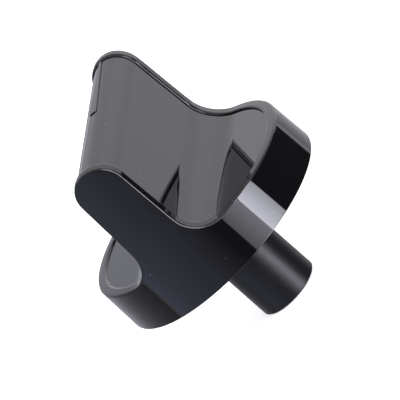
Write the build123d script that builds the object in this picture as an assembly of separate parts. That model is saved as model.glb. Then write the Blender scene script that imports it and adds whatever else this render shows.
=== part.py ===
from build123d import *
from math import cos, radians, sin, tan
import os

# Cooker control knob: a hollow gloss moulding on a long satin shank, with a spring that grips a D spindle.
# The frame stands on the mouth of the shank. The origin is the centre of the shank's open end,
# +Z runs along the spindle axis towards the grip, and the grip bar lies along X with its pointer at +X.

# Outside of the moulding
skirt_radius = 25.0          # at the back rim
side_draft = 1.6             # degrees, the round side narrows towards the front
skirt_height = 10.5          # back rim to the top of the skirt, where its slope meets the axis
skirt_fall = 1.5             # degrees, the skirt's top falls away from the bar
grip_height = 35.4           # back rim to the top of the grip bar
crest_radius = 5.45          # the bar's rounded top
grip_draft = 2.0             # degrees on each flank of the bar
foot_radius = 6.6            # flank into skirt
rim_width = 2.4              # raised border that follows the whole outer edge
rim_height = 0.4             # border above the panel inside it
border_fall = 0.12           # the border's top slopes down by this much towards its outer edge
border_run = 1.6             # width of that slope
outer_round = 0.5            # outer edge of the border
inner_bevel = 0.34           # slope from the border's top down to the panel
inner_round = 0.45           # where that slope meets the border's top
back_round = 0.2             # back edge of the skirt

# Pointer: a low tapered rib along the crest, from the border to the knob's centre
pointer_inner_x = 0.9
pointer_inner_half_width = 0.95
pointer_outer_half_width = 0.35
pointer_height = 0.2
pointer_corner = 0.5
pointer_overlap = 0.2        # how far the rib runs into the border

# Inside of the moulding
wall = 2.2
side_wall = 2.4
boss_radius = 10.0
boss_low = 2.6               # height of the boss's end above the back rim
boss_top = 11.0              # where the boss runs into the top of the skirt
rib_count = 8
rib_thickness = 1.3
rib_low = 3.2                # above the back rim, like boss_low and bar_rib_low
bar_rib_thickness = 1.2
bar_rib_places = (7.0, 12.6, 18.2)
bar_rib_low = 8.5

# Shank
shank_radius = 6.75
shank_reach = 18.75          # open end to the back rim
shank_chamfer = 0.4
spigot_radius = 7.6
spigot_top = 9.6             # above the back rim
flange_radius = 9.4          # seats against the end of the boss
flange_low = 0.9
key_count = 4
key_width = 2.2
key_height = 0.9
key_gap = 0.06               # clearance round each key in its slot

# Socket for the spindle: a round lead-in, then a D
lead_in_radius = 4.05
lead_in_depth = 6.5
lead_in_chamfer = 0.5
socket_radius = 3.05
socket_flat = 1.65           # axis to the flat of the D
socket_depth = 24.5          # open end to the blind end

# Spring in the flat of the D
pocket_width = 3.8
pocket_depth = 3.35          # axis to the pocket's back
pocket_top = 21.5
spring_width = 3.4
spring_thickness = 0.4
spring_bow = 1.2             # axis to the leaf's nearest point
spring_bend = 0.4            # radius at the middle of the strip
spring_fold = 0.95           # spacing of the two legs at the fold
spring_low_gap = 0.3         # leaf's low end to the pocket's low end
spring_top_gap = 0.6         # fold to the pocket's top
spring_toe = 0.6             # the bowed leg ends this much short of the flat one

back_z = shank_reach
panel_inset = rim_height
cavity_inset = rim_height + wall

spare = 1.0                  # how far a tool solid runs past what it cuts or joins
edge_match = 0.02            # how close an edge lies to the surface that it is looked for on
upright = (Align.CENTER, Align.CENTER, Align.MIN)


def saddle_block(inset: float) -> Part:
    """Bar and skirt as one section drawn across the bar and run along it, inset on every side."""
    draft = radians(grip_draft)
    fall = radians(skirt_fall)
    crest_r = crest_radius - inset
    foot_r = foot_radius + inset
    crest_z = back_z + grip_height - crest_radius
    floor_z = back_z + skirt_height - inset
    reach = skirt_radius + spare
    flank_top = (crest_r * cos(draft), crest_z + crest_r * sin(draft))
    # The foot's centre is one radius off the flank's line and one radius off the sloping floor
    flank_offset = crest_r + crest_z * sin(draft) + foot_r
    floor_offset = floor_z * cos(fall) + foot_r
    turn = cos(draft) * cos(fall) - sin(draft) * sin(fall)
    foot_y = (flank_offset * cos(fall) - floor_offset * sin(draft)) / turn
    foot_z = (floor_offset * cos(draft) - flank_offset * sin(fall)) / turn

    def on_foot(degrees: float) -> tuple:
        return (foot_y + foot_r * cos(radians(degrees)), foot_z + foot_r * sin(radians(degrees)))

    foot_top = on_foot(180 + grip_draft)
    foot_middle = on_foot((180 + grip_draft + 270 - skirt_fall) / 2)
    foot_low = on_foot(270 - skirt_fall)
    edge_top = (reach, floor_z - reach * tan(fall))
    edge_low = (reach, back_z)

    def flipped(point: tuple) -> tuple:
        return (-point[0], point[1])

    with BuildSketch(Plane.YZ) as section:
        with BuildLine():
            ThreePointArc(flipped(flank_top), (0, crest_z + crest_r), flank_top)
            Line(flank_top, foot_top)
            ThreePointArc(foot_top, foot_middle, foot_low)
            Polyline(foot_low, edge_top, edge_low)
            Line(edge_low, flipped(edge_low))
            Polyline(flipped(edge_low), flipped(edge_top), flipped(foot_low))
            ThreePointArc(flipped(foot_low), flipped(foot_middle), flipped(foot_top))
            Line(flipped(foot_top), flipped(flank_top))
        make_face()
    return extrude(section.sketch, amount=reach, both=True)


def drafted_disc(low: float, high: float, inset: float) -> Part:
    """Round column inside the knob's side, narrowing with the side's draft."""
    slope = tan(radians(side_draft))
    low_radius = skirt_radius - inset - (low - back_z) * slope
    high_radius = skirt_radius - inset - (high - back_z) * slope
    return Pos(0, 0, low) * Cone(low_radius, high_radius, high - low, align=upright)


def round_column(low: float, high: float, radius: float) -> Part:
    """Plain round column on the spindle axis."""
    return Pos(0, 0, low) * Cylinder(radius, high - low, align=upright)


def loops_on_side(solid: Part, inset: float) -> ShapeList:
    """The edges that lie on the drafted column of the given inset, without its seam and its back circle."""
    slope = tan(radians(side_draft))

    def off_column(point: Vector) -> float:
        return abs(Vector(point.X, point.Y, 0).length - (skirt_radius - inset - (point.Z - back_z) * slope))

    found = []
    for edge in solid.edges():
        points = [edge.position_at(place) for place in (0.0, 0.31, 0.67, 1.0)]
        on_column = max(off_column(point) for point in points) < edge_match
        on_back = all(point.Z < back_z + edge_match for point in points)
        if on_column and edge.geom_type != GeomType.LINE and not on_back:
            found.append(edge)
    return ShapeList(found)


def knob_outside() -> Part:
    """Solid outer form: skirt, bar, raised border round the panel, and the pointer rib."""
    top = back_z + grip_height
    panel = saddle_block(panel_inset)
    body = drafted_disc(back_z, top + spare, 0) & saddle_block(0)
    side = body.faces().filter_by(GeomType.CONE).sort_by(SortBy.AREA)[-1]
    body = body.chamfer(border_fall, border_run, loops_on_side(body, 0), side)
    body = fillet(loops_on_side(body, 0), outer_round)
    body = fillet(body.edges().group_by(Axis.Z)[0], back_round)
    body = body - (drafted_disc(back_z - spare, top + spare, rim_width) - panel)
    border = loops_on_side(body, rim_width)
    raised = [edge for edge in border if panel.distance_to(edge @ 0.5) > rim_height / 2]
    squared = body
    body = chamfer(raised, inner_bevel)
    bevelled = new_edges(squared, combined=body)
    crests = [edge for edge in bevelled if panel.distance_to(edge @ 0.5) > rim_height - edge_match]
    body = fillet(crests, inner_round)
    return body + pointer_rib()


def pointer_rib() -> Part:
    """Low rib on the crest, wide at the knob's centre and narrow where it meets the border."""
    outer_x = skirt_radius - rim_width - grip_height * tan(radians(side_draft)) + pointer_overlap
    outline = [
        (pointer_inner_x, -pointer_inner_half_width),
        (outer_x, -pointer_outer_half_width),
        (outer_x, pointer_outer_half_width),
        (pointer_inner_x, pointer_inner_half_width),
    ]
    with BuildSketch(Plane.XY.offset(back_z + grip_height - crest_radius)) as plan:
        with BuildLine():
            Polyline(*outline, close=True)
        make_face()
        inner_corners = plan.vertices().group_by(Axis.X)[0]
        fillet(inner_corners, pointer_corner)
    column = extrude(plan.sketch, amount=crest_radius + spare)
    return column & saddle_block(panel_inset - pointer_height)


def knob_cavity() -> Part:
    """Hollow of the moulding, open at the back."""
    return drafted_disc(back_z, back_z + grip_height, side_wall) & saddle_block(cavity_inset)


def stiffening_ribs() -> Part:
    """Ribs from the boss to the skirt, and short cross ribs inside the bar."""
    ribs = []
    span = skirt_radius - boss_radius + spare
    for number in range(rib_count):
        angle = (number + 0.5) * 360 / rib_count
        rib = Box(span, rib_thickness, grip_height, align=(Align.MIN, Align.CENTER, Align.MIN))
        ribs.append(Rot(0, 0, angle) * (Pos(boss_radius - spare, 0, back_z + rib_low) * rib))
    for place in bar_rib_places:
        low = bar_rib_low if place > boss_radius else boss_top - spare / 2
        for side in (-1, 1):
            rib = Box(bar_rib_thickness, 2 * skirt_radius, grip_height, align=upright)
            ribs.append(Pos(side * place, 0, back_z + low) * rib)
    return Part() + ribs


def shank_keys(grow: float) -> Part:
    """Keys that stop the shank turning in the boss; grow gives the slots their clearance."""
    length = spare + key_height + grow
    width = key_width + 2 * grow
    height = spigot_top - boss_low + grow
    keys = []
    for number in range(key_count):
        angle = (number + 0.5) * 360 / key_count
        key = Box(length, width, height, align=(Align.MIN, Align.CENTER, Align.MIN))
        keys.append(Rot(0, 0, angle) * (Pos(spigot_radius - spare, 0, back_z + boss_low) * key))
    return Part() + keys


def knob_shell() -> Part:
    """The gloss moulding."""
    boss = round_column(back_z + boss_low, back_z + boss_top, boss_radius)
    hollow = knob_cavity() - boss - stiffening_ribs()
    boss_bore = round_column(back_z + boss_low - spare, back_z + spigot_top, spigot_radius)
    return knob_outside() - hollow - boss_bore - shank_keys(key_gap)


def d_socket(low: float, high: float, radius: float, flat: float) -> Part:
    """Round hole with one flat at +Y."""
    beyond_flat = Box(2 * radius, radius, high - low, align=(Align.CENTER, Align.MIN, Align.MIN))
    return round_column(low, high, radius) - Pos(0, flat, low) * beyond_flat


def shank_hub() -> Part:
    """The satin moulding: shank, flange, keyed spigot and the spindle socket."""
    shank = round_column(0, back_z + boss_low, shank_radius)
    shank = chamfer(shank.edges().group_by(Axis.Z)[0], shank_chamfer)
    flange = round_column(back_z + flange_low, back_z + boss_low, flange_radius)
    spigot = round_column(back_z + boss_low, back_z + spigot_top, spigot_radius)
    hub = shank + flange + spigot + shank_keys(0)
    mouth = Cone(lead_in_radius + lead_in_chamfer, lead_in_radius, lead_in_chamfer, align=upright)
    lead_in = round_column(0, lead_in_depth, lead_in_radius)
    socket = d_socket(lead_in_depth, socket_depth, socket_radius, socket_flat)
    pocket_height = pocket_top - lead_in_depth
    pocket = Box(pocket_width, pocket_depth, pocket_height, align=(Align.CENTER, Align.MIN, Align.MIN))
    return hub - mouth - lead_in - socket - Pos(0, 0, lead_in_depth) * pocket


def spindle_spring() -> Part:
    """Hairpin leaf: one leg flat in the pocket, the other bowed towards the spindle's flat."""
    back = pocket_depth - spring_thickness / 2
    low = lead_in_depth + spring_low_gap
    high = pocket_top - spring_top_gap
    middle = (low + high) / 2
    fold = back - spring_fold
    nearest = spring_bow + spring_thickness / 2
    with BuildSketch(Plane.YZ) as leaf:
        with BuildLine():
            FilletPolyline(
                (back, low),
                (back, high),
                (fold, high),
                (nearest, middle),
                (fold, low + spring_toe),
                radius=spring_bend,
            )
        trace(line_width=spring_thickness)
    return extrude(leaf.sketch, amount=spring_width / 2, both=True)


os.makedirs("parts", exist_ok=True)

pieces = {
    "knob_shell": (knob_shell, Color(0.03, 0.03, 0.035)),
    "shank_hub": (shank_hub, Color(0.08, 0.08, 0.08)),
    "spindle_spring": (spindle_spring, Color(0.6, 0.6, 0.62)),
}

for node, (build, colour) in pieces.items():
    piece = build()
    piece.label = node
    piece.color = colour
    export_step(piece, f"parts/{node}.step")
    print(node, "solids", len(piece.solids()), "volume", round(piece.volume, 1), "valid", piece.is_valid)
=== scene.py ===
# A cooker control knob on a pale studio floor: gloss moulding, satin shank and the spring in its socket.

import logging
import math
from dataclasses import dataclass, field
from enum import Enum

import bmesh
import bpy
from mathutils import Matrix, Vector


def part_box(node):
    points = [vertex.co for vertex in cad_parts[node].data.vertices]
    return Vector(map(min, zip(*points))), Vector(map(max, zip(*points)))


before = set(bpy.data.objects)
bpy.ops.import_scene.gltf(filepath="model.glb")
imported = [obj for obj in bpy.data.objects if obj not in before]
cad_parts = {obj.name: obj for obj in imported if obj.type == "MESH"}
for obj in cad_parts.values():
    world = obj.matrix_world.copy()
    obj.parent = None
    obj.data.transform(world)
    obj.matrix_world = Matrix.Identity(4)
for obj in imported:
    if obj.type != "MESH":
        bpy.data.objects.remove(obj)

log = logging.getLogger("control_knob")
MM = 0.001
FULL_TURN = 360.0
WHITE = (1.0, 1.0, 1.0, 1.0)

Number = "Value | float"


class Unit(Enum):
    """Lengths that a finish repeats at, in metres."""

    GRAIN = 0.00012
    PEEL = 0.004
    HAZE = 0.014


class Graph:
    """Builds one node tree: every node comes from its add method."""

    def __init__(self, tree: bpy.types.NodeTree) -> None:
        """Empties the tree."""
        self.tree = tree
        self.tree.nodes.clear()

    def add(self, kind: str, settings: dict | None = None, inputs: dict | None = None) -> bpy.types.Node:
        """Adds a node.

        Args:
            kind: The node's type name, such as ShaderNodeTexNoise.
            settings: Node properties, which are set first.
            inputs: Socket name or number to a plain value, a Value or a socket.

        Returns:
            The new node.
        """
        node = self.tree.nodes.new(kind)
        for name, setting in (settings or {}).items():
            setattr(node, name, setting)
        for key, given in (inputs or {}).items():
            source = given.socket if isinstance(given, Value) else given
            if isinstance(source, bpy.types.NodeSocket):
                self.tree.links.new(source, node.inputs[key])
            else:
                node.inputs[key].default_value = source
        return node

    def value(self, socket: bpy.types.NodeSocket) -> "Value":
        """Wraps a socket for arithmetic."""
        return Value(self, socket)

    def axes(self, vector: bpy.types.NodeSocket) -> tuple["Value", "Value", "Value"]:
        """The three components of a vector socket."""
        parts = self.add("ShaderNodeSeparateXYZ", inputs={"Vector": vector})
        return tuple(self.value(socket) for socket in parts.outputs)

    def position(self) -> bpy.types.NodeSocket:
        """The point on the piece, in metres, in the knob's own frame."""
        return self.add("ShaderNodeTexCoord").outputs["Object"]

    def stretched(self, vector: bpy.types.NodeSocket, scale: tuple) -> bpy.types.NodeSocket:
        """A vector with each axis scaled."""
        return self.add("ShaderNodeMapping", inputs={"Vector": vector, "Scale": scale}).outputs["Vector"]

    def noise(
        self, vector: bpy.types.NodeSocket, size: float, detail: float = 2.0, rough: float = 0.5
    ) -> "Value":
        """Smooth noise from about 0 to 1.

        Args:
            vector: Where it is read.
            size: The length that a feature takes, in the vector's units.
            detail: How many finer layers are added.
            rough: How strong the finer layers are.

        Returns:
            The noise value.
        """
        settings = {"noise_dimensions": "3D"}
        inputs = {"Vector": vector, "Scale": 1.0 / size, "Detail": detail, "Roughness": rough}
        return self.value(self.add("ShaderNodeTexNoise", settings, inputs).outputs["Fac"])

    def specks(
        self,
        vector: bpy.types.NodeSocket,
        spacing: float,
        radius: float,
        share: float,
        smallest: float = 0.35,
        edge: float = 0.4,
    ) -> "Value":
        """Small round specks, scattered at random.

        Args:
            vector: Where they are read.
            spacing: The size of the cell that may hold one.
            radius: A speck's greatest radius, in the vector's units.
            share: The share of cells that hold one.
            smallest: The smallest speck's radius, as a share of the greatest.
            edge: Width of a speck's soft edge, as a share of the greatest radius.

        Returns:
            1 on a speck and 0 elsewhere, with a soft edge.
        """
        inputs = {"Vector": vector, "Scale": 1.0 / spacing, "Randomness": 1.0}
        cells = self.add("ShaderNodeTexVoronoi", {"feature": "F1", "distance": "EUCLIDEAN"}, inputs)
        chance, size, _ = self.axes(cells.outputs["Color"])
        reach = (smallest + (1.0 - smallest) * size) * (radius / spacing)
        inside = (reach - self.value(cells.outputs["Distance"])) / (edge * radius / spacing)
        return inside.clamped() * chance.below(share)

    def mix(
        self, share: Number, first: tuple | bpy.types.NodeSocket, second: tuple | bpy.types.NodeSocket
    ) -> bpy.types.NodeSocket:
        """Blends two colours.

        Args:
            share: 0 gives the first, 1 the second.
            first: A colour or a colour socket.
            second: A colour or a colour socket.

        Returns:
            The blended colour's socket.
        """
        settings = {"data_type": "RGBA", "blend_type": "MIX", "clamp_factor": True}
        node = self.add("ShaderNodeMix", settings, {0: share, 6: first, 7: second})
        return node.outputs[2]

    def lit(self, colour: tuple, strength: "Value") -> bpy.types.NodeSocket:
        """A colour made brighter or darker."""
        node = self.add("ShaderNodeVectorMath", {"operation": "SCALE"}, {0: colour[:3], "Scale": strength})
        return node.outputs[0]

    def bump(
        self, height: "Value", depth: float, below: bpy.types.NodeSocket | None = None
    ) -> bpy.types.NodeSocket:
        """A surface normal raised by a height.

        Args:
            height: The relief, from 0 to 1.
            depth: The real height of 1, in metres.
            below: The normal of a coarser relief under this one.

        Returns:
            The normal's socket.
        """
        inputs = {"Height": height, "Distance": depth, "Strength": 1.0}
        if below is not None:
            inputs["Normal"] = below
        return self.add("ShaderNodeBump", inputs=inputs).outputs["Normal"]


class Value:
    """A number that flows through a node tree. Arithmetic on it adds Math nodes."""

    def __init__(self, graph: Graph, socket: bpy.types.NodeSocket) -> None:
        """Wraps one socket."""
        self.graph = graph
        self.socket = socket

    def _math(self, operation: str, *operands: Number) -> "Value":
        """One Math node.

        Args:
            operation: The Math node's operation.
            operands: Its inputs in order, values or plain numbers.

        Returns:
            The result.
        """
        node = self.graph.add("ShaderNodeMath", {"operation": operation}, dict(enumerate(operands)))
        return Value(self.graph, node.outputs[0])

    def __add__(self, other: Number) -> "Value":
        """Sum."""
        return self._math("ADD", self, other)

    def __radd__(self, other: Number) -> "Value":
        """Sum, from the right."""
        return self._math("ADD", other, self)

    def __sub__(self, other: Number) -> "Value":
        """Difference."""
        return self._math("SUBTRACT", self, other)

    def __rsub__(self, other: Number) -> "Value":
        """Difference, from the right."""
        return self._math("SUBTRACT", other, self)

    def __mul__(self, other: Number) -> "Value":
        """Product."""
        return self._math("MULTIPLY", self, other)

    def __rmul__(self, other: Number) -> "Value":
        """Product, from the right."""
        return self._math("MULTIPLY", other, self)

    def __truediv__(self, other: Number) -> "Value":
        """Quotient."""
        return self._math("DIVIDE", self, other)

    def __neg__(self) -> "Value":
        """Opposite."""
        return self._math("MULTIPLY", self, -1.0)

    def __abs__(self) -> "Value":
        """Size without sign."""
        return self._math("ABSOLUTE", self)

    def at_least(self, other: Number) -> "Value":
        """The larger of the two."""
        return self._math("MAXIMUM", self, other)

    def at_most(self, other: Number) -> "Value":
        """The smaller of the two."""
        return self._math("MINIMUM", self, other)

    def below(self, other: Number) -> "Value":
        """1 where this is less than the other."""
        return self._math("LESS_THAN", self, other)

    def root(self) -> "Value":
        """Square root."""
        return self._math("SQRT", self)

    def exponential(self) -> "Value":
        """e raised to this."""
        return self._math("EXPONENT", self)

    def arc_sine(self) -> "Value":
        """Angle in radians with this sine."""
        return self._math("ARCSINE", self)

    def arc_cosine(self) -> "Value":
        """Angle in radians with this cosine."""
        return self._math("ARCCOSINE", self)

    def bearing(self, other: "Value") -> "Value":
        """Angle in radians whose sine is in this value's proportion and whose cosine is in the other's."""
        return self._math("ARCTAN2", self, other)

    def modulo(self, whole: float) -> "Value":
        """Remainder from 0 up to the whole, also for negative values."""
        return self._math("FLOORED_MODULO", self, whole)

    def clamped(self) -> "Value":
        """Held between 0 and 1."""
        return self.at_least(0.0).at_most(1.0)

    def eased(self) -> "Value":
        """Held between 0 and 1, with a smooth start and end."""
        held = self.clamped()
        return held * held * (3.0 - 2.0 * held)


@dataclass(frozen=True)
class KnobSection:
    """The knob's saddle-shaped section across the grip bar, in metres above the mouth of the shank."""

    back: float
    top: float
    radius: float
    side_draft: float = math.radians(1.6)
    skirt_height: float = 10.5 * MM
    skirt_fall: float = math.radians(1.5)
    crest_radius: float = 5.45 * MM
    grip_draft: float = math.radians(2.0)
    foot_radius: float = 6.6 * MM
    level: float = 1e-7

    @property
    def crest_height(self) -> float:
        """Height of the centre of the bar's rounded crest."""
        return self.top - self.crest_radius

    @property
    def foot_centre(self) -> tuple[float, float]:
        """Where the concave foot is centred, off the bar's middle and above the shank's mouth."""
        draft, fall = self.grip_draft, self.skirt_fall
        flank = self.crest_radius + self.crest_height * math.sin(draft) + self.foot_radius
        floor = (self.back + self.skirt_height) * math.cos(fall) + self.foot_radius
        turn = math.cos(draft) * math.cos(fall) - math.sin(draft) * math.sin(fall)
        off = (flank * math.cos(fall) - floor * math.sin(draft)) / turn
        high = (floor * math.cos(draft) - flank * math.sin(fall)) / turn
        return off, high

    def depth(self, graph: Graph, place: bpy.types.NodeSocket) -> Value:
        """How deep a point lies under the saddle.

        Args:
            graph: The tree that it is worked out in.
            place: The point, in metres.

        Returns:
            The depth in metres, 0 on the front surface.
        """
        _, across, height = graph.axes(place)
        off, high = self.foot_centre
        inward = (off - abs(across)).at_least(0.0)
        under = (high - height).at_least(0.0)
        foot = (inward * inward + under * under).root() - self.foot_radius
        over = (height - self.crest_height).at_least(0.0)
        crest = self.crest_radius - (across * across + over * over).root()
        below_crest = over.below(self.level)
        return foot.at_most(crest + below_crest)

    def side_depth(self, graph: Graph, place: bpy.types.NodeSocket) -> Value:
        """How far a point lies inside the round side.

        Args:
            graph: The tree that it is worked out in.
            place: The point, in metres.

        Returns:
            The distance in metres, 0 on the side.
        """
        along, across, height = graph.axes(place)
        radius = self.radius - (height - self.back) * math.tan(self.side_draft)
        return radius - (along * along + across * across).root()


@dataclass(frozen=True)
class GlossMoulding:
    """Polished black thermoset: mirror gloss outside, duller where the core of the mould shaped it."""

    name: str = "gloss_black_moulding"
    colour: tuple = (0.0024, 0.0024, 0.0028, 1.0)
    core_colour: tuple = (0.0120, 0.0120, 0.0130, 1.0)
    dust_colour: tuple = (0.17, 0.17, 0.18, 1.0)
    polish: float = 0.022
    core_roughness: float = 0.33
    ior: float = 1.5
    peel_depth: float = 0.0000006
    flow_depth: float = 0.0000004
    dust_spacing: float = 0.0016
    dust_radius: float = 0.00014
    dust_share: float = 0.6
    dust_dullness: float = 0.3
    dust_height: float = 12.0
    haze_start: float = 0.42
    haze_gain: float = 0.02
    flow_size: float = 0.0016
    flow_stretch: tuple = (0.06, 1.0, 1.0)
    core_variation: float = 0.1
    core_height: float = 6.0
    core_depth: float = 1.8 * MM
    core_inset: float = 2.3 * MM
    core_blend: float = 0.1 * MM
    side_blend: float = 0.05 * MM

    def material(self, section: KnobSection) -> bpy.types.Material:
        """Makes the finish.

        Args:
            section: The knob's section, which tells the outside from the cored hollow.

        Returns:
            The material.
        """
        made = bpy.data.materials.new(self.name)
        made.use_nodes = True
        graph = Graph(made.node_tree)
        place = graph.position()
        core = self.core_mask(graph, place, section)
        dust = graph.specks(place, self.dust_spacing, self.dust_radius, self.dust_share) * (1.0 - core)
        haze = graph.noise(place, Unit.HAZE.value, 3.0, 0.6)
        flow = graph.noise(graph.stretched(place, self.flow_stretch), self.flow_size, 2.0)
        colour = graph.mix(core, self.colour, self.core_colour)
        colour = graph.mix(dust, colour, self.dust_colour)
        grain = graph.noise(place, Unit.GRAIN.value, 1.0)
        shine = self.polish + self.haze_gain * (haze - self.haze_start).clamped() + self.dust_dullness * dust
        cored = self.core_roughness + self.core_variation * (grain - 0.5)
        rough = shine * (1.0 - core) + cored * core
        peel = graph.bump(graph.noise(place, Unit.PEEL.value, 1.0), self.peel_depth)
        relief = flow * (1.0 - core) + self.core_height * grain * core + self.dust_height * dust
        fine = graph.bump(relief, self.flow_depth, peel)
        surface = graph.add(
            "ShaderNodeBsdfPrincipled",
            inputs={"Base Color": colour, "Roughness": rough, "IOR": self.ior, "Normal": fine},
        )
        graph.add("ShaderNodeOutputMaterial", inputs={"Surface": surface.outputs["BSDF"]})
        return made

    def core_mask(self, graph: Graph, place: bpy.types.NodeSocket, section: KnobSection) -> Value:
        """1 on the surfaces that the mould's core shaped, 0 on the polished outside.

        Args:
            graph: The material's tree.
            place: The point on the moulding.
            section: The knob's section.

        Returns:
            The mask.
        """
        under = (section.depth(graph, place) - self.core_depth) / self.core_blend
        inside = (section.side_depth(graph, place) - self.core_inset) / self.side_blend
        return under.clamped() * inside.clamped()


@dataclass(frozen=True)
class SatinMoulding:
    """Black heat-resistant moulding as it leaves a fine-blasted tool, with faint ejection lines along it."""

    name: str = "satin_black_moulding"
    colour: tuple = (0.0055, 0.0055, 0.0064, 1.0)
    worn_colour: tuple = (0.0085, 0.0085, 0.0095, 1.0)
    roughness: float = 0.38
    ior: float = 1.365
    grain_depth: float = 0.000004
    line_depth: float = 0.0000015
    cloud_size: float = 0.006
    line_size: float = 0.0004
    line_stretch: tuple = (1.0, 1.0, 0.03)

    def material(self) -> bpy.types.Material:
        """Makes the finish."""
        made = bpy.data.materials.new(self.name)
        made.use_nodes = True
        graph = Graph(made.node_tree)
        place = graph.position()
        grain = graph.noise(place, Unit.GRAIN.value, 2.0, 0.6)
        cloud = graph.noise(place, self.cloud_size, 3.0, 0.6)
        lines = graph.noise(graph.stretched(place, self.line_stretch), self.line_size, 2.0)
        colour = graph.mix(0.5 * cloud + 0.4 * (lines - 0.5), self.colour, self.worn_colour)
        rough = self.roughness + 0.1 * (cloud - 0.5) + 0.08 * (grain - 0.5)
        relief = graph.bump(grain, self.grain_depth)
        relief = graph.bump(lines, self.line_depth, relief)
        surface = graph.add(
            "ShaderNodeBsdfPrincipled",
            inputs={"Base Color": colour, "Roughness": rough, "IOR": self.ior, "Normal": relief},
        )
        graph.add("ShaderNodeOutputMaterial", inputs={"Surface": surface.outputs["BSDF"]})
        return made


@dataclass(frozen=True)
class SpringStrip:
    """Bright rolled spring steel, with the rolling marks along the strip."""

    name: str = "spring_steel_strip"
    colour: tuple = (0.52, 0.52, 0.53, 1.0)
    dull_colour: tuple = (0.36, 0.36, 0.38, 1.0)
    roughness: float = 0.26
    line_depth: float = 0.000002
    line_size: float = 0.00015
    line_stretch: tuple = (1.0, 1.0, 0.02)
    cloud_size: float = 0.003

    def material(self) -> bpy.types.Material:
        """Makes the finish."""
        made = bpy.data.materials.new(self.name)
        made.use_nodes = True
        graph = Graph(made.node_tree)
        place = graph.position()
        lines = graph.noise(graph.stretched(place, self.line_stretch), self.line_size, 3.0, 0.6)
        cloud = graph.noise(place, self.cloud_size, 2.0)
        colour = graph.mix(0.6 * lines + 0.4 * cloud, self.colour, self.dull_colour)
        rough = self.roughness + 0.25 * (lines - 0.5)
        surface = graph.add(
            "ShaderNodeBsdfPrincipled",
            inputs={
                "Base Color": colour,
                "Metallic": 1.0,
                "Roughness": rough,
                "Normal": graph.bump(lines, self.line_depth),
            },
        )
        graph.add("ShaderNodeOutputMaterial", inputs={"Surface": surface.outputs["BSDF"]})
        return made


@dataclass
class CadPiece:
    """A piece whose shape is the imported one, and which gets its finish here."""

    node: str
    slot: str

    def dress(self, finish: bpy.types.Material) -> bpy.types.Object:
        """Gives the piece its finish.

        Args:
            finish: The material.

        Returns:
            The piece's object.
        """
        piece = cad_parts[self.node]
        for holder in piece.material_slots:
            holder.material = finish
        low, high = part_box(self.node)
        size = [round(length / MM, 2) for length in high - low]
        log.info("%s: %s, %s mm", self.node, finish.name, size)
        return piece


@dataclass
class KnobBody:
    """The gloss moulding: skirt, grip bar, raised border and pointer, hollow behind."""

    shell: CadPiece = field(default_factory=lambda: CadPiece("knob_shell", "gloss_black"))
    finish: GlossMoulding = field(default_factory=GlossMoulding)
    skirt_radius: float = 25.0 * MM

    def section(self) -> KnobSection:
        """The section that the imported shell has."""
        low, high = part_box(self.shell.node)
        return KnobSection(back=low.z, top=high.z, radius=self.skirt_radius)

    def build(self) -> bpy.types.Object:
        """Dresses the shell."""
        return self.shell.dress(self.finish.material(self.section()))


@dataclass
class Shank:
    """The satin shank and the spring leaf in its socket."""

    hub: CadPiece = field(default_factory=lambda: CadPiece("shank_hub", "satin_black"))
    leaf: CadPiece = field(default_factory=lambda: CadPiece("spindle_spring", "spring_steel"))
    hub_finish: SatinMoulding = field(default_factory=SatinMoulding)
    leaf_finish: SpringStrip = field(default_factory=SpringStrip)

    def build(self) -> list[bpy.types.Object]:
        """Dresses the hub and the leaf."""
        return [self.hub.dress(self.hub_finish.material()), self.leaf.dress(self.leaf_finish.material())]


@dataclass(frozen=True)
class Card:
    """A light or a flag that stands round the knob, as the gloss surfaces see it. Angles are in degrees."""

    start: float
    end: float
    first: float
    last: float
    tint: tuple = (1.0, 1.0, 1.0, 1.0)
    soft: float = 0.8
    low: float = -90.0
    high: float = 40.0
    soft_height: float = 6.0

    def paint(
        self, graph: Graph, around: Value, height: Value, under: bpy.types.NodeSocket
    ) -> bpy.types.NodeSocket:
        """Lays the card over what is behind it.

        Args:
            graph: The world's tree.
            around: Bearing in degrees, from 0 to 360, measured from -X towards -Y.
            height: Degrees above the horizon.
            under: The colour behind the card.

        Returns:
            The colour with the card in front.
        """
        width = self.end - self.start
        along = (around - self.start).modulo(FULL_TURN)
        sides = ((along + self.soft / 2) / self.soft).clamped() * ((width - along) / self.soft).clamped()
        rise = ((height - self.low) / self.soft_height).eased()
        fall = ((self.high - height) / self.soft_height).eased()
        glow = self.first + (self.last - self.first) * (along / width).clamped()
        return graph.mix(sides * rise * fall, under, graph.lit(self.tint, glow))


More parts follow.
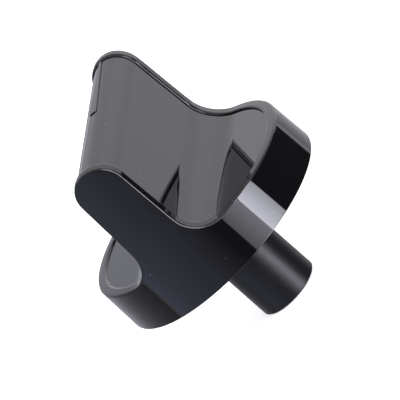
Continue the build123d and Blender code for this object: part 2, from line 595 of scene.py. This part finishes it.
@dataclass
class Studio:
    """Pale floor, soft light and the camera."""

    floor_radius: float = 2.5
    floor_drop: float = 0.02 * MM
    floor_sides: int = 96
    floor_colour: tuple = (0.82, 0.82, 0.82, 1.0)
    floor_roughness: float = 0.8
    floor_glow: float = 0.72
    fill: float = 0.9
    glow_strength: float = 0.68
    glow_bearing: float = 158.0
    glow_height: float = 18.0
    glow_width: float = 28.0
    low_band: float = 0.66
    low_band_top: float = -11.0
    low_band_soft: float = 3.0
    low_band_start: float = 157.0
    low_band_width: float = 200.0
    room_tint: tuple = (1.0, 0.99, 1.05)
    cards: tuple = (
        # grey wall that fades towards the cool screen, dimmer below than above at its far end
        Card(-154.0, -127.5, 0.45, 0.58, (0.98, 1.0, 1.12, 1.0), high=2.0),
        Card(-154.0, -127.5, 0.74, 0.60, (0.98, 1.0, 1.12, 1.0), low=2.0),
        Card(-128.5, -66.5, 0.58, 0.26, (0.98, 1.0, 1.12, 1.0)),
        # cool screen, and the black flag at its end
        Card(-64.5, -8.0, 0.77, 0.43, (0.94, 1.04, 1.36, 1.0)),
        Card(-9.0, 21.0, 0.44, 0.06, (0.98, 1.03, 1.28, 1.0)),
        Card(20.0, 32.0, 0.06, 0.05),
        # softbox: its dim side, then its bright side
        Card(32.0, 55.5, 1.8, 3.85, (1.0, 0.98, 1.1, 1.0)),
        Card(54.5, 76.25, 13.0, 6.6, (1.0, 1.0, 1.13, 1.0)),
        # black flags beside the softbox
        Card(76.25, 136.0, 0.04, 0.04, high=14.0),
        Card(130.0, 151.5, 0.04, 0.03, high=-11.5, soft_height=2.5),
    )
    camera_azimuth: float = math.radians(-65.4234)
    camera_elevation: float = math.radians(18.2228)
    camera_roll: float = math.radians(-48.7244)
    camera_distance: float = 1163.0 * MM
    camera_left: float = 4.186 * MM
    camera_up: float = 5.698 * MM
    lens: float = 535.8
    sensor: float = 36.0
    near_clip: float = 0.05
    far_clip: float = 20.0

    def lay_floor(self) -> bpy.types.Object:
        """Lays the floor that the shank's mouth stands on. It can't be seen from underneath."""
        mesh = bpy.data.meshes.new("studio_floor")
        shape = bmesh.new()
        bmesh.ops.create_circle(shape, cap_ends=True, segments=self.floor_sides, radius=self.floor_radius)
        shape.to_mesh(mesh)
        shape.free()
        floor = bpy.data.objects.new("studio_floor", mesh)
        floor.location.z = -self.floor_drop
        floor.visible_glossy = False
        bpy.context.scene.collection.objects.link(floor)
        mesh.materials.append(self.floor_finish())
        return floor

    def floor_finish(self) -> bpy.types.Material:
        """Pale back-lit acrylic."""
        made = bpy.data.materials.new("floor_acrylic")
        made.use_nodes = True
        graph = Graph(made.node_tree)
        surface = graph.add(
            "ShaderNodeBsdfPrincipled",
            inputs={
                "Base Color": self.floor_colour,
                "Roughness": self.floor_roughness,
                "Emission Color": WHITE,
                "Emission Strength": self.floor_glow,
            },
        )
        clear = graph.add("ShaderNodeBsdfTransparent")
        underside = graph.add("ShaderNodeNewGeometry").outputs["Backfacing"]
        shown = graph.add(
            "ShaderNodeMixShader", inputs={0: underside, 1: surface.outputs["BSDF"], 2: clear.outputs["BSDF"]}
        )
        graph.add("ShaderNodeOutputMaterial", inputs={"Surface": shown.outputs["Shader"]})
        return made

    def light(self) -> bpy.types.World:
        """Lights the studio: white for the floor, and cards round the knob for its gloss."""
        scene = bpy.context.scene
        scene.view_settings.view_transform = "Standard"
        world = bpy.data.worlds.new("studio_light")
        scene.world = world
        world.use_nodes = True
        graph = Graph(world.node_tree)
        along, across, up = graph.axes(graph.add("ShaderNodeTexCoord").outputs["Generated"])
        around = (-across).bearing(-along) * math.degrees(1.0)
        height = up.at_least(-1.0).at_most(1.0).arc_sine() * math.degrees(1.0)
        seen = self.room(graph, along, across, up, around, height)
        for card in self.cards:
            seen = card.paint(graph, around, height, seen)
        ray = graph.add("ShaderNodeLightPath")
        white = graph.value(ray.outputs["Is Camera Ray"])
        colour = graph.mix(white, seen, WHITE)
        lamp = graph.add("ShaderNodeBackground", inputs={"Color": colour, "Strength": 1.0})
        graph.add("ShaderNodeOutputWorld", inputs={"Surface": lamp.outputs["Background"]})
        return world

    def room(
        self, graph: Graph, along: Value, across: Value, up: Value, around: Value, height: Value
    ) -> bpy.types.NodeSocket:
        """The white room behind the cards, brightest in one soft patch and greyer near the floor.

        Args:
            graph: The world's tree.
            along: The direction's X.
            across: The direction's Y.
            up: The direction's Z.
            around: Bearing in degrees.
            height: Degrees above the horizon.

        Returns:
            The room's colour.
        """
        bearing, rise = math.radians(self.glow_bearing), math.radians(self.glow_height)
        level = math.cos(rise)
        aim = Vector((-math.cos(bearing) * level, -math.sin(bearing) * level, math.sin(rise)))
        facing = along * aim.x + across * aim.y + up * aim.z
        off = facing.at_most(1.0).at_least(-1.0).arc_cosine() * (math.degrees(1.0) / self.glow_width)
        bright = self.fill + self.glow_strength * (-(off * off)).exponential()
        beyond = (around - self.low_band_start).modulo(FULL_TURN).below(self.low_band_width)
        low = ((self.low_band_top - height) / self.low_band_soft).clamped() * beyond
        strength = bright * (1.0 - low) + self.low_band * low
        return graph.lit(self.room_tint, strength)

    def place_camera(self) -> bpy.types.Object:
        """Stands the camera over the knob's back rim, turned so that the shank points down to the right."""
        target = Vector((0.0, 0.0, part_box("knob_shell")[0].z))
        azimuth, elevation = self.camera_azimuth, self.camera_elevation
        back = Vector(
            (
                math.sin(azimuth) * math.cos(elevation),
                -math.cos(azimuth) * math.cos(elevation),
                math.sin(elevation),
            )
        )
        level = (-back).cross(Vector((0.0, 0.0, 1.0))).normalized()
        upright = level.cross(-back)
        cosine, sine = math.cos(self.camera_roll), math.sin(self.camera_roll)
        right = level * cosine + upright * sine
        up = upright * cosine - level * sine
        data = bpy.data.cameras.new("camera")
        data.sensor_width = self.sensor
        data.lens = self.lens
        data.clip_start = self.near_clip
        data.clip_end = self.far_clip
        camera = bpy.data.objects.new("camera", data)
        bpy.context.scene.collection.objects.link(camera)
        place = target - right * self.camera_left + up * self.camera_up + back * self.camera_distance
        turned = Matrix((right, up, back)).transposed().to_4x4()
        camera.matrix_world = Matrix.Translation(place) @ turned
        bpy.context.scene.camera = camera
        return camera


def main() -> None:
    """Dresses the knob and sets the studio."""
    logging.basicConfig(level=logging.INFO, format="%(message)s")
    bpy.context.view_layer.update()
    KnobBody().build()
    Shank().build()
    studio = Studio()
    log.info("%s laid", studio.lay_floor().name)
    studio.light()
    studio.place_camera()


if __name__ == "__main__":
    main()
